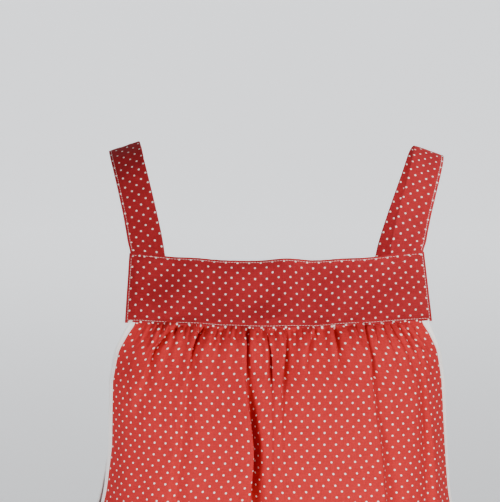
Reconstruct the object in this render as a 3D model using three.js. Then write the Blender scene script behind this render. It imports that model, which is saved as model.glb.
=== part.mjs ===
// A slip-on cobbler apron in the pinafore style, shaped as it hangs when worn.
//
// Two straight yoke bands, at the chest and at the back, are joined by a pair of shoulder straps. A body
// panel is gathered into the lower edge of each band. The panels meet at side seams below the arms, and a
// bias binding finishes each armhole from yoke to yoke. Every piece is a sheet of cloth with its real wall.
//
// Millimetres, +Z up. The origin lies midway between the straps, where their undersides cross the
// shoulders. The chest faces -Y and the wearer's left is +X.

import * as THREE from "three";

// Cloth
const panelWall = 1.4;
const yokeWall = 2.6;
const strapWall = 2.2;
const bindingWall = 2.6;
const hemWall = 2.8;
const seamGap = 0.4;

// Yoke bands
const chestDrop = 99;
const backDrop = 124;
const yokeHeight = 76;
const yokeTopWidth = 300;
const yokeFlare = 8;
const yokeBottomWidth = yokeTopWidth + yokeFlare;
const yokeSag = 5;
const chestReach = 113;
const chestLean = 30;
const chestSetBack = 18;
const backReach = 72;
const backLean = 12;
const backSetBack = 20;

// Straps
const strapWidth = 34;
const strapSpacing = 322;
const strapFootInset = 2.5;
const strapFootSpacing = yokeTopWidth - strapWidth - 2 * strapFootInset;
const strapShift = 4;
const strapRise = 2.7;

// Body panels
const shoulderToHem = 900;
const hemWidth = 500;
const hemChestReach = 192;
const hemBackReach = 158;
const hemHeight = 25;
const blouseLength = 38;

// Armholes
const underarmDrop = 440;
const bindingWidth = 7;

// Gathers and folds
const gatherDepth = 2.6;
const gatherCount = 18;
const gatherLength = 46;
const foldDepth = 16;
const foldWidth = 0.1;

// The panels' cross-section below the seam. down is a share of the panel's length; width, sway, chest and
// back are shares of the half width and the reaches at the hem; the last two are exponents of the rounded
// outline.
const panelSections = [
  { down: 0.0, width: 0.69, sway: 0.0, chest: 0.79, back: 0.57, chestSquare: 3.9, backSquare: 3.2 },
  { down: 0.04, width: 0.738, sway: 0.0, chest: 0.81, back: 0.6, chestSquare: 3.5, backSquare: 2.8 },
  { down: 0.085, width: 0.759, sway: -0.001, chest: 0.83, back: 0.62, chestSquare: 3.2, backSquare: 2.4 },
  { down: 0.12, width: 0.763, sway: 0.002, chest: 0.835, back: 0.63, chestSquare: 3.0, backSquare: 2.2 },
  { down: 0.18, width: 0.763, sway: 0.007, chest: 0.83, back: 0.64, chestSquare: 2.8, backSquare: 2.05 },
  { down: 0.245, width: 0.77, sway: 0.005, chest: 0.828, back: 0.66, chestSquare: 2.6, backSquare: 2.05 },
  { down: 0.28, width: 0.78, sway: 0.004, chest: 0.83, back: 0.68, chestSquare: 2.5, backSquare: 2.1 },
  { down: 0.37, width: 0.818, sway: 0.003, chest: 0.845, back: 0.73, chestSquare: 2.45, backSquare: 2.2 },
  { down: 0.455, width: 0.846, sway: 0.002, chest: 0.86, back: 0.77, chestSquare: 2.45, backSquare: 2.3 },
  { down: 0.73, width: 0.925, sway: 0.001, chest: 0.93, back: 0.89, chestSquare: 2.4, backSquare: 2.4 },
  { down: 1.0, width: 1.0, sway: 0.0, chest: 1.0, back: 1.0, chestSquare: 2.3, backSquare: 2.3 },
];

// Folds of the chest panel. at, low and foot place a fold at the seam, a quarter of the way down and at the
// hem, as shares of the half width; top, mid and hem are its depths there as shares of foldDepth, a valley
// being negative; width is a share of foldWidth, at the seam.
const chestFolds = [
  { at: -0.73, low: -0.86, foot: -0.88, top: -0.3, mid: 0.05, hem: 0.2, width: 0.45 },
  { at: -0.5, low: -0.65, foot: -0.62, top: -0.34, mid: -0.3, hem: -0.75, width: 0.5 },
  { at: -0.36, low: -0.33, foot: -0.36, top: 0.1, mid: 0.25, hem: 0.6, width: 1.0 },
  { at: -0.21, low: -0.13, foot: -0.14, top: -0.4, mid: -0.65, hem: -0.95, width: 0.45 },
  { at: -0.08, low: -0.05, foot: 0.02, top: -0.3, mid: 0.12, hem: 0.3, width: 0.4 },
  { at: 0.05, low: 0.06, foot: 0.16, top: -0.3, mid: -0.22, hem: -0.4, width: 0.4 },
  { at: 0.24, low: 0.28, foot: 0.36, top: -0.22, mid: 0.2, hem: 0.55, width: 0.5 },
  { at: 0.585, low: 0.64, foot: 0.6, top: -0.3, mid: -0.32, hem: -0.75, width: 0.5 },
  { at: 0.8, low: 0.83, foot: 0.86, top: 0.05, mid: 0.06, hem: 0.25, width: 0.8 },
];

// Folds of the back panel, in the same columns.
const backFolds = [
  { at: -0.62, low: -0.64, foot: -0.66, top: -0.22, mid: -0.3, hem: -0.7, width: 0.6 },
  { at: -0.4, low: -0.4, foot: -0.38, top: 0.1, mid: 0.25, hem: 0.6, width: 0.9 },
  { at: -0.14, low: -0.16, foot: -0.14, top: -0.26, mid: -0.38, hem: -0.85, width: 0.6 },
  { at: 0.1, low: 0.1, foot: 0.12, top: 0.08, mid: 0.25, hem: 0.6, width: 0.9 },
  { at: 0.36, low: 0.38, foot: 0.36, top: -0.24, mid: -0.35, hem: -0.8, width: 0.6 },
  { at: 0.66, low: 0.62, foot: 0.64, top: 0.08, mid: 0.2, hem: 0.5, width: 0.9 },
];

// A strap's course from the yoke (run and fall 1) to the shoulder (0), as shares of the yoke's reach and
// drop. spread is the share of the way from the foot's spacing to the shoulder's, tilt the cloth's sideways
// slope in degrees, and outer the outer edge's distance from the centre line as a share of half the width.
const chestCourse = [
  { run: 1.0, fall: 1.0, spread: 0.0, tilt: 5, outer: 1.06 },
  { run: 0.88, fall: 0.83, spread: 0.14, tilt: 7, outer: 1.0 },
  { run: 0.72, fall: 0.59, spread: 0.36, tilt: 10, outer: 1.0 },
  { run: 0.56, fall: 0.37, spread: 0.58, tilt: 13, outer: 1.0 },
  { run: 0.39, fall: 0.19, spread: 0.77, tilt: 16, outer: 1.0 },
  { run: 0.2, fall: 0.065, spread: 0.92, tilt: 19, outer: 1.0 },
];
const backCourse = [
  { run: 0.3, fall: 0.06, spread: 0.93, tilt: 19, outer: 1.0 },
  { run: 0.58, fall: 0.22, spread: 0.8, tilt: 15, outer: 1.0 },
  { run: 0.8, fall: 0.5, spread: 0.5, tilt: 10, outer: 1.0 },
  { run: 0.93, fall: 0.78, spread: 0.2, tilt: 6, outer: 1.0 },
  { run: 1.0, fall: 1.0, spread: 0.0, tilt: 5, outer: 1.06 },
];
const shoulderTilt = 19.5;

// How finely each sheet is faceted
const yokeColumns = 24;
const yokeRows = 2;
const strapRows = 26;
const strapColumns = 2;
const armholeRows = 10;
const skirtRows = 5;
const chestColumns = 84;
const backColumns = 52;

const { lerp, clamp, smoothstep, degToRad } = THREE.MathUtils;

// The two halves of the apron: which way each faces, how its yoke lies on the body, and how its armhole
// edge falls and turns.
const chest = {
  facing: -1,
  drop: chestDrop,
  reach: chestReach,
  lean: degToRad(chestLean),
  setBack: chestSetBack,
  hemReach: hemChestReach,
  reachColumn: "chest",
  squareColumn: "chestSquare",
  folds: chestFolds,
  armholeFall: 1.25,
  armholeTurn: 2.4,
};
const back = {
  facing: 1,
  drop: backDrop,
  reach: backReach,
  lean: degToRad(backLean),
  setBack: backSetBack,
  hemReach: hemBackReach,
  reachColumn: "back",
  squareColumn: "backSquare",
  folds: backFolds,
  armholeFall: 1.15,
  armholeTurn: 1.3,
};

// The value of a column of a table at a share of the way down, eased between rows.
function columnAt(table, column, share) {
  const next = table.findIndex((row) => row.down >= share);
  if (next < 0) return table[table.length - 1][column];
  if (next === 0) return table[0][column];
  const [above, below] = [table[next - 1], table[next]];
  const part = (share - above.down) / (below.down - above.down);
  return lerp(above[column], below[column], part);
}

// Yokes

// A point of a yoke's middle surface. across runs from -1 to 1, down from 0 at the upper edge to 1 at the
// seam.
function yokePoint(half, across, down) {
  const halfWidth = lerp(yokeTopWidth, yokeBottomWidth, down) / 2;
  const reach = half.reach + yokeHeight * Math.sin(half.lean) * down - half.setBack * across ** 2;
  const drop = half.drop + yokeHeight * Math.cos(half.lean) * down + yokeSag * (1 - across ** 2);
  return new THREE.Vector3(across * halfWidth, half.facing * reach, -drop);
}

// The unit direction down a yoke, and its outward normal, at a share across.
function yokeFrame(half, across) {
  const step = 0.01;
  const down = yokePoint(half, across, 1).sub(yokePoint(half, across, 0)).normalize();
  const along = yokePoint(half, across + step, 1).sub(yokePoint(half, across - step, 1));
  const out = along.cross(down).normalize();
  if (out.y * half.facing < 0) out.negate();
  return { down, out };
}

// Body panels

const seamDrop = (half) => half.drop + yokeHeight * Math.cos(half.lean);
const panelLength = (half) => shoulderToHem - seamDrop(half);
const armholeDepth = (half) => underarmDrop - seamDrop(half);

// The outline of half a cross-section from the centre to the side, as points with their arc length.
function outline(half, down) {
  const share = down / panelLength(half);
  const width = (columnAt(panelSections, "width", share) * hemWidth) / 2;
  const reach = columnAt(panelSections, half.reachColumn, share) * half.hemReach;
  const square = columnAt(panelSections, half.squareColumn, share);
  const steps = 48;
  const points = [];
  let arc = 0;
  for (let i = 0; i <= steps; i++) {
    const angle = ((i / steps) * Math.PI) / 2;
    const powers = (Math.sin(angle) / width) ** square + (Math.cos(angle) / reach) ** square;
    const radius = powers ** (-1 / square);
    const [x, y] = [radius * Math.sin(angle), radius * Math.cos(angle)];
    if (i) arc += Math.hypot(x - points[i - 1].x, y - points[i - 1].y);
    points.push({ x, y, arc });
  }
  return points;
}

const sideArc = (points) => points[points.length - 1].arc;

// The point at an arc length along such an outline.
function alongOutline(points, arc) {
  const wanted = clamp(arc, 0, sideArc(points));
  const next = Math.max(
    1,
    points.findIndex((point) => point.arc >= wanted),
  );
  const [from, to] = [points[next - 1], points[next]];
  const part = (wanted - from.arc) / (to.arc - from.arc);
  return { x: lerp(from.x, to.x, part), y: lerp(from.y, to.y, part) };
}

// How far the armhole reaches forward or back of the side line at the seam: to the yoke's lower corner.
function armholeReach(half) {
  const points = outline(half, 0);
  const next = points.findIndex((point) => point.x >= yokeBottomWidth / 2);
  if (next < 1) return 0;
  const [from, to] = [points[next - 1], points[next]];
  const part = (yokeBottomWidth / 2 - from.x) / (to.x - from.x);
  return sideArc(points) - lerp(from.arc, to.arc, part);
}

// The armhole is half of a rounded outline. These give its distance from the side line at a drop below the
// seam, and the reverse by an angle; margin is a distance outwards from the cloth's edge.
function armholeEdge(half, down, margin) {
  const share = down / (armholeDepth(half) + margin);
  if (share >= 1) return 0;
  const left = 1 - Math.max(share, 0) ** half.armholeFall;
  return (armholeReach(half) + margin) * left ** (1 / half.armholeTurn);
}
function armholeDown(half, angle, margin) {
  return (armholeDepth(half) + margin) * Math.sin(angle) ** (2 / half.armholeFall);
}

// A panel's middle surface without folds. across is 1 at the armhole's edge, and at the side seam below it.
function drapePoint(half, across, down) {
  const points = outline(half, down);
  const edge = sideArc(points) - armholeEdge(half, down, 0);
  const hung = alongOutline(points, Math.abs(across) * edge);
  const sway = (columnAt(panelSections, "sway", down / panelLength(half)) * hemWidth) / 2;
  const drop = seamDrop(half) + down;
  const section = new THREE.Vector3(Math.sign(across) * hung.x + sway, half.facing * hung.y, -drop);
  const onYoke = clamp(across, -1.1, 1.1);
  const fromSeam = yokePoint(half, onYoke, 1).addScaledVector(
    yokeFrame(half, onYoke).down,
    down / Math.cos(half.lean),
  );
  const settled = 1 - (1 - Math.min(Math.max(down, 0) / blouseLength, 1)) ** 1.8;
  return fromSeam.lerp(section, settled);
}

// A fold's place across, by how far down it is.
function foldCentre(fold, share) {
  const quarter = 0.25;
  if (share < quarter) return lerp(fold.at, fold.low, share / quarter);
  return lerp(fold.low, fold.foot, (share - quarter) / (1 - quarter));
}
function foldSize(fold, share) {
  const quarter = 0.25;
  if (share < quarter) return lerp(fold.top, fold.mid, share / quarter);
  return lerp(fold.mid, fold.hem, (share - quarter) / (1 - quarter));
}

// How far the cloth stands out of the drape. Gathers start under the yoke and die away; folds grow towards
// the hem.
function relief(half, across, down) {
  const share = down / panelLength(half);
  const calm = smoothstep(1 - Math.abs(across), 0.045, 0.2);
  const start = smoothstep(down, -4, gatherLength / 3);
  const gathers =
    gatherDepth *
    Math.exp(-down / gatherLength) *
    Math.cos(Math.PI * gatherCount * (across + 0.03 * Math.sin(7 * across)));
  const folds = half.folds.reduce((sum, fold) => {
    const width = foldWidth * fold.width * (1 + 2.2 * Math.sqrt(share));
    const offset = (across - foldCentre(fold, share)) / width;
    return sum + foldDepth * foldSize(fold, share) * Math.exp(-(offset ** 2));
  }, 0);
  return calm * start * (gathers + folds);
}

// The outward unit normal of a surface given by a share across and a drop down.
function normalOf(half, surface, across, down) {
  const step = 0.004;
  const drop = 1;
  const along = surface(half, across + step, down).sub(surface(half, across - step, down));
  const fall = surface(half, across, down + drop).sub(surface(half, across, Math.max(down - drop, 0)));
  const out = along.cross(fall).normalize();
  return out.y * half.facing < 0 ? out.negate() : out;
}

// A point of a panel's middle surface, folds included.
function clothPoint(half, across, down) {
  const out = normalOf(half, drapePoint, across, down);
  return drapePoint(half, across, down).addScaledVector(out, relief(half, across, down));
}

// Solids

// A closed solid from a grid of points on a sheet's middle surface. wallAt gives the wall of each row, and
// normalAt may fix a row's normal, so that the row seats squarely on its neighbour.
function sheetSolid(rows, columns, pointAt, wallAt, normalAt = () => null) {
  const grid = [];
  for (let r = 0; r <= rows; r++) grid.push(Array.from({ length: columns + 1 }, (_, c) => pointAt(r, c)));
  const corners = [];
  for (const side of [1, -1])
    for (let r = 0; r <= rows; r++)
      for (let c = 0; c <= columns; c++) {
        const along = grid[r][Math.min(c + 1, columns)].clone().sub(grid[r][Math.max(c - 1, 0)]);
        const down = grid[Math.min(r + 1, rows)][c].clone().sub(grid[Math.max(r - 1, 0)][c]);
        const normal = normalAt(r, c) ?? along.cross(down).normalize();
        corners.push(grid[r][c].clone().addScaledVector(normal, (side * wallAt(r)) / 2));
      }
  const layer = (rows + 1) * (columns + 1);
  const faces = [];
  const quad = (a, b, c, d) => faces.push(a, b, c, a, c, d);
  const id = (r, c, side) => side * layer + r * (columns + 1) + c;
  for (let r = 0; r < rows; r++)
    for (let c = 0; c < columns; c++) {
      quad(id(r, c, 0), id(r, c + 1, 0), id(r + 1, c + 1, 0), id(r + 1, c, 0));
      quad(id(r, c, 1), id(r + 1, c, 1), id(r + 1, c + 1, 1), id(r, c + 1, 1));
    }
  for (let c = 0; c < columns; c++) {
    quad(id(0, c, 0), id(0, c, 1), id(0, c + 1, 1), id(0, c + 1, 0));
    quad(id(rows, c, 0), id(rows, c + 1, 0), id(rows, c + 1, 1), id(rows, c, 1));
  }
  for (let r = 0; r < rows; r++) {
    quad(id(r, 0, 0), id(r + 1, 0, 0), id(r + 1, 0, 1), id(r, 0, 1));
    quad(id(r, columns, 0), id(r, columns, 1), id(r + 1, columns, 1), id(r + 1, columns, 0));
  }
  const geometry = new THREE.BufferGeometry();
  const numbers = corners.flatMap((p) => [p.x, p.y, p.z]);
  geometry.setAttribute("position", new THREE.Float32BufferAttribute(numbers, 3));
  geometry.setIndex(facesOutward(corners, faces));
  geometry.computeVertexNormals();
  return geometry;
}

// The faces, turned round where the solid would otherwise be inside out.
function facesOutward(corners, faces) {
  let volume = 0;
  for (let i = 0; i < faces.length; i += 3) {
    const [a, b, c] = [corners[faces[i]], corners[faces[i + 1]], corners[faces[i + 2]]];
    volume += a.dot(b.clone().cross(c));
  }
  if (volume > 0) return faces;
  return faces.map((_, i) => faces[i - (i % 3) + [0, 2, 1][i % 3]]);
}

function yokeSolid(half) {
  return sheetSolid(
    yokeRows,
    yokeColumns,
    (r, c) => yokePoint(half, (2 * c) / yokeColumns - 1, r / yokeRows),
    () => yokeWall,
  );
}

// The drops of a panel's rows: by the armhole's angle above the underarm, and evenly from there to the hem.
function panelRows(half) {
  const margin = bindingWidth + seamGap;
  const rows = [];
  for (let i = 0; i <= armholeRows; i++) {
    rows.push(armholeDown(half, ((i / armholeRows) * Math.PI) / 2, margin));
  }
  const underarm = rows[armholeRows];
  const hemTop = panelLength(half) - hemHeight;
  for (let i = 1; i <= skirtRows; i++) rows.push(lerp(underarm, hemTop, i / skirtRows));
  rows.push(panelLength(half));
  return rows;
}

function panelSolid(half, columns) {
  const margin = bindingWidth + seamGap;
  const downs = panelRows(half);
  const edges = downs.map((down) => {
    const side = sideArc(outline(half, down));
    const outer = side - armholeEdge(half, down, 0);
    const inner = side - Math.max(armholeEdge(half, down, margin), seamGap / 2);
    return Math.min(inner / outer, 1);
  });
  edges[0] = 1 - margin / (yokeBottomWidth / 2);
  const across = (r, c) => ((2 * c) / columns - 1) * edges[r];
  return sheetSolid(
    downs.length - 1,
    columns,
    (r, c) => {
      if (r > 0) return clothPoint(half, across(r, c), downs[r]);
      const frame = yokeFrame(half, across(r, c));
      return yokePoint(half, across(r, c), 1)
        .addScaledVector(frame.down, seamGap)
        .addScaledVector(frame.out, relief(half, across(r, c), 0));
    },
    (r) => (r >= downs.length - 2 ? hemWall : panelWall),
    (r, c) => {
      if (r === 0) return yokeFrame(half, across(r, c)).out;
      return normalOf(half, clothPoint, across(r, c), downs[r]);
    },
  );
}

// A binding runs down the chest side of one armhole, under the arm and up to the back yoke.
function bindingSolid(side) {
  const rows = 2 * armholeRows;
  const place = (r, c) => {
    const half = r <= armholeRows ? chest : back;
    const turn = Math.min(r, rows - r) / armholeRows;
    const margin = c * bindingWidth;
    if (turn === 0) return { half, across: side * (1 - margin / (yokeBottomWidth / 2)), down: 0 };
    const down = armholeDown(half, (turn * Math.PI) / 2, margin);
    const arc = sideArc(outline(half, down));
    const outer = arc - armholeEdge(half, down, 0);
    const inner = arc - armholeEdge(half, down, margin);
    return { half, across: (side * inner) / outer, down };
  };
  const pointAt = (r, c) => {
    const { half, across, down } = place(r, c);
    if (down > 0) return clothPoint(half, across, down);
    return yokePoint(half, across, 1).addScaledVector(yokeFrame(half, across).down, seamGap);
  };
  const normalAt = (r, c) => {
    const { half, across, down } = place(r, c);
    const out = down > 0 ? normalOf(half, clothPoint, across, down) : yokeFrame(half, across).out;
    return out.multiplyScalar(side);
  };
  return sheetSolid(rows, 1, pointAt, () => bindingWall, normalAt);
}

// A strap follows its course over the shoulder, and its two ends are cut along the yokes' upper edges.
function strapSolid(side) {
  const knots = [
    ...chestCourse.map((row) => ({ ...row, half: chest })),
    { run: 0, fall: 0, spread: 1, tilt: shoulderTilt, outer: 1, half: chest },
    ...backCourse.map((row) => ({ ...row, half: back })),
  ];
  const footX = strapFootSpacing / 2;
  const footAcross = strapFootSpacing / yokeTopWidth;
  const place = (knot) => {
    const foot = yokePoint(knot.half, footAcross, 0);
    const x = side * lerp(footX, strapSpacing / 2, knot.spread) + strapShift * knot.spread;
    const z = foot.z * knot.fall + (strapWall / 2 - side * strapRise) * (1 - knot.fall);
    return new THREE.Vector3(x, foot.y * knot.run, z);
  };
  const course = new THREE.CatmullRomCurve3(knots.map(place), false, "centripetal");
  const pointAt = (r, c) => {
    const t = r / strapRows;
    const knot = t * (knots.length - 1);
    const [low, high] = [knots[Math.floor(knot)], knots[Math.ceil(knot)]];
    const part = knot - Math.floor(knot);
    const outer = lerp(low.outer, high.outer, part);
    const reach = (lerp(outer, -1, c / strapColumns) * strapWidth) / 2;
    if (r === 0 || r === strapRows) {
      const half = r === 0 ? chest : back;
      const across = side * (footAcross + (2 * reach) / yokeTopWidth);
      return yokePoint(half, across, 0).addScaledVector(yokeFrame(half, across).down, -seamGap);
    }
    const tilt = degToRad(lerp(low.tilt, high.tilt, part));
    const along = course.getTangent(t);
    const level = new THREE.Vector3(side * Math.cos(tilt), 0, -Math.sin(tilt));
    const across = level.addScaledVector(along, -level.dot(along)).normalize();
    return course.getPoint(t).addScaledVector(across, reach);
  };
  const normalAt = (r, c) => {
    if (r !== 0 && r !== strapRows) return null;
    const half = r === 0 ? chest : back;
    return yokeFrame(half, side * footAcross).out.multiplyScalar(-side);
  };
  return sheetSolid(strapRows, strapColumns, pointAt, () => strapWall, normalAt);
}

// Assembly

const dottedCotton = new THREE.MeshStandardMaterial({ color: 0xb3262a, roughness: 0.85, metalness: 0 });
const whiteBinding = new THREE.MeshStandardMaterial({ color: 0xe9e8ea, roughness: 0.8, metalness: 0 });

const apron = new THREE.Group();

function addPiece(name, geometry, material) {
  const mesh = new THREE.Mesh(geometry, material.clone());
  mesh.name = name;
  apron.add(mesh);
}

addPiece("yoke_front", yokeSolid(chest), dottedCotton);
addPiece("yoke_back", yokeSolid(back), dottedCotton);
addPiece("strap_right", strapSolid(-1), dottedCotton);
addPiece("strap_left", strapSolid(1), dottedCotton);
addPiece("panel_front", panelSolid(chest, chestColumns), dottedCotton);
addPiece("panel_back", panelSolid(back, backColumns), dottedCotton);
addPiece("binding_right", bindingSolid(-1), whiteBinding);
addPiece("binding_left", bindingSolid(1), whiteBinding);

export default apron;
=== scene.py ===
import math

import bpy
import numpy as np
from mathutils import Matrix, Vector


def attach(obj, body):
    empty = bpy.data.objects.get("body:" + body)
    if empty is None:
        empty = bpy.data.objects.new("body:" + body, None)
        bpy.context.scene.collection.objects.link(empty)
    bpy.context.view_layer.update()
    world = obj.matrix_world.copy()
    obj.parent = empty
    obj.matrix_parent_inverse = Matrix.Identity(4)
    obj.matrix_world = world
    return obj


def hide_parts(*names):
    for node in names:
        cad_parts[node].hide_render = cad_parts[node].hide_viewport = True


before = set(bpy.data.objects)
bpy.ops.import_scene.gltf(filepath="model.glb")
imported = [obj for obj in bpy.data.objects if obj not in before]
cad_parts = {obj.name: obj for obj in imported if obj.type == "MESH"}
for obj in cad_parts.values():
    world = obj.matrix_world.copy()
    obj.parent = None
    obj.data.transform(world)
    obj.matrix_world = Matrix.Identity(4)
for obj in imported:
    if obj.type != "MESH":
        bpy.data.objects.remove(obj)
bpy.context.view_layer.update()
bpy.ops.object.select_all(action="DESELECT")

# Yoke bands
#
# Two straight bands of doubled cotton, one across the chest and one across the back, each turned in and
# topstitched all round close to its edges. The chest band leans outwards, and its upper edge sags between
# the straps.

# The bands, straps and panels are one plain-woven quilting cotton, dyed red and printed with small white
# dots. It is matt, with a slight bloom of fibre ends, and its wrong side shows the dots only faintly.
# The cloth's sizes are in mm. Each piece's UV map, flat_cloth, is its flat cloth in metres, so that the
# print follows each fold.
dot_period = 12.0
dot_radius = 0.97
dot_softness = 0.24
# A dot's rim wavers by this share of the period, with this grain.
dot_wobble = 0.03
rim_grain = 1.1111
# Real threads lie 0.35 mm apart. They are drawn at twice that, because finer ones would not show.
thread_pitch = 0.7
slub_length = 14.0
slub_width = 0.9
# Dye takes unevenly over a few threads.
mottle_size = 1.6129

red_ground = "#C6252A"
red_shade = "#AD2023"
dot_white = "#FBF6F2"
wrong_side_red = "#AE3A3C"
wrong_side_dot = "#C77F7D"
fibre_bloom = "#E0605E"


def linear(colour):
    channels = [int(colour[i : i + 2], 16) / 255 for i in (1, 3, 5)]
    return [c / 12.92 if c <= 0.04045 else ((c + 0.055) / 1.055) ** 2.4 for c in channels] + [1.0]


def add_node(material, kind, inputs=(), output=0, **settings):
    """Adds a node, fills its inputs, by name or number, and gives back one of its outputs."""
    node = material.node_tree.nodes.new("ShaderNode" + kind)
    for name, value in settings.items():
        setattr(node, name, value)
    for name, value in inputs.items() if isinstance(inputs, dict) else enumerate(inputs):
        if isinstance(value, bpy.types.NodeSocket):
            material.node_tree.links.new(value, node.inputs[name])
        else:
            node.inputs[name].default_value = value
    return node.outputs[output]


def new_material(name, **shader):
    material = bpy.data.materials.new(name)
    material.use_nodes = True
    principled = material.node_tree.nodes["Principled BSDF"]
    for socket, value in shader.items():
        principled.inputs[socket.replace("_", " ")].default_value = value
    return material, principled.inputs


def connect(material, output, socket):
    material.node_tree.links.new(output, socket)


def dots_mask(material, cloth):
    """1 inside a printed dot. Each square of the print has a dot at its corner and one at its centre."""
    wobble = add_node(material, "TexNoise", {"Vector": cloth, "Scale": 1000 / rim_grain, "Detail": 1.0})
    squares = add_node(material, "VectorMath", {0: cloth, "Scale": 1000 / dot_period}, operation="SCALE")
    distances = []
    for shift in (0.0, 0.5):
        moved = add_node(material, "VectorMath", [squares, (shift, shift, 0)], operation="ADD")
        cell = add_node(material, "VectorMath", [moved], operation="FRACTION")
        centred = add_node(material, "VectorMath", [cell, (0.5, 0.5, 0)], operation="SUBTRACT")
        distances.append(add_node(material, "VectorMath", [centred], "Value", operation="LENGTH"))
    nearest = add_node(material, "Math", distances, operation="MINIMUM")
    wavy = add_node(material, "Math", [wobble, dot_wobble, nearest], operation="MULTIPLY_ADD")
    edge = dot_radius / dot_period + dot_wobble / 2
    soft = dot_softness / dot_period
    rim = {"Value": wavy, "From Min": edge - soft, "From Max": edge + soft, "To Min": 1.0, "To Max": 0.0}
    return add_node(material, "MapRange", rim, interpolation_type="SMOOTHSTEP")


def weave_height(material, cloth):
    """Plain weave: warp and weft threads that pass over and under each other."""
    turns = math.pi * 1000 / thread_pitch
    threads = add_node(material, "VectorMath", {0: cloth, "Scale": turns}, operation="SCALE")
    parts = add_node(material, "SeparateXYZ", [threads]).node.outputs
    waves = [add_node(material, "Math", [part], operation="SINE") for part in parts[:2]]
    return add_node(material, "Math", waves, operation="MULTIPLY")


def slubs(material, cloth, across, down, seed):
    """Uneven yarn: noise drawn out along the threads."""
    drawn_out = (1000 / across, 1000 / down, 1.0)
    stretched = add_node(material, "VectorMath", [cloth, drawn_out], operation="MULTIPLY")
    moved = add_node(material, "VectorMath", [stretched, (seed, seed * 2, 0)], operation="ADD")
    return add_node(material, "TexNoise", {"Vector": moved, "Scale": 1.0, "Detail": 2.0})


def woven_cotton(name, ground, shade, dots):
    material, inputs = new_material(
        name,
        Roughness=0.86,
        IOR=1.46,
        Specular_IOR_Level=0.25,
        Sheen_Weight=0.1,
        Sheen_Roughness=0.45,
        Sheen_Tint=linear(fibre_bloom),
    )
    cloth = add_node(material, "UVMap", uv_map="flat_cloth")
    warp_slubs = slubs(material, cloth, slub_width, slub_length, 3.0)
    weft_slubs = slubs(material, cloth, slub_length, slub_width, 11.0)
    uneven = add_node(material, "Math", [warp_slubs, weft_slubs], operation="ADD")
    uneven = add_node(material, "Math", [uneven, 0.5], operation="SUBTRACT")
    mottling = {"Vector": cloth, "Scale": 1000 / mottle_size, "Detail": 2.0}
    mottled = add_node(material, "TexNoise", mottling)
    patchy = add_node(material, "Math", [mottled, 1.8, -0.9], operation="MULTIPLY_ADD")
    tone = add_node(material, "Math", [uneven, patchy], operation="ADD")
    tone = add_node(material, "Clamp", [tone])
    dyed = add_node(material, "Mix", {0: tone, 6: linear(ground), 7: linear(shade)}, 2, data_type="RGBA")
    # Painted shade: the dyed colour is darkened a little where the weave dips, in the hollows between
    # threads.
    weave = weave_height(material, cloth)
    weave_hollow_shade = add_node(material, "Math", [weave, 0.07, 0.93], operation="MULTIPLY_ADD")
    weave_hollow_shaded = {0: 1.0, 6: dyed, 7: weave_hollow_shade}
    dyed = add_node(material, "Mix", weave_hollow_shaded, 2, data_type="RGBA", blend_type="MULTIPLY")
    print_on_it = {0: dots_mask(material, cloth), 6: dyed, 7: linear(dots)}
    printed = add_node(material, "Mix", print_on_it, 2, data_type="RGBA")
    connect(material, printed, inputs["Base Color"])
    height = add_node(material, "Math", [uneven, 0.6, weave], operation="MULTIPLY_ADD")
    bump = add_node(material, "Bump", {"Height": height, "Strength": 0.35, "Distance": 0.00012})
    connect(material, bump, inputs["Normal"])
    return material


pin_dot_cotton = woven_cotton("pin_dot_cotton_printed_face", red_ground, red_shade, dot_white)
# The bands and straps are doubled cotton. They are drawn in a darker copy of the same cotton, whose deeper
# red is painted shade standing in for the shade that falls on them.
band_red_painted_shade = "#AE232A"
band_dark_red_painted_shade = "#981A20"
cotton_painted_shade_copy = woven_cotton("pin_dot_cotton_painted_shade", band_red_painted_shade, band_dark_red_painted_shade, dot_white)
cotton_wrong_side = woven_cotton("pin_dot_cotton_wrong_side", wrong_side_red, red_shade, wrong_side_dot)

yoke_height = 76.0
yoke_top_width = 300.0
yoke_bottom_width = 308.0
yoke_wall = 2.3
yoke_columns = 190
yoke_rows = 50
topstitch_inset = 2.6
topstitch_dent = 0.7
yoke_edge_radius = 1.3
# The print starts this far across and down from the middle of the band's upper edge.
print_across = 6.1
print_down = 3.3

# For each half: the side it faces, the band's drop and reach at its upper edge, its lean and the bend back
# at its ends, the panel's reach at the hem, the armhole's curve (fall, turn), and the sag of the band's
# edges, with the lift that breaks the upper one.
lift_place = 0.05
lift_width = 0.17
chest = dict(
    facing=-1,
    drop=99.0,
    reach=113.0,
    lean=math.radians(30),
    set_back=18.0,
    hem_reach=192.0,
    fall=1.25,
    turn=2.4,
    top_sag=(7.2, 1.3),
    bottom_sag=(4.4, 2.2),
    lift=2.6,
)
back = dict(
    facing=1,
    drop=124.0,
    reach=72.0,
    lean=math.radians(12),
    set_back=20.0,
    hem_reach=158.0,
    fall=1.15,
    turn=1.3,
    top_sag=(5.0, 1.2),
    bottom_sag=(4.6, 1.6),
    lift=0.0,
)


def smooth(value):
    held = np.clip(value, 0.0, 1.0)
    return held * held * (3 - 2 * held)


def ripple(u, v, seed, length):
    """A smooth, irregular height of about -1 to 1 over cloth coordinates, its waves about length mm long."""
    waves = np.random.default_rng(seed)
    wave_count = 7
    total = np.zeros(np.broadcast(u, v).shape)
    for _ in range(wave_count):
        angle, phase = waves.uniform(0, 2 * math.pi, 2)
        size = waves.uniform(0.7, 1.5) * 2 * math.pi / length
        total = total + np.sin(size * (u * math.cos(angle) + v * math.sin(angle)) + phase)
    return total / math.sqrt(wave_count)


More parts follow.
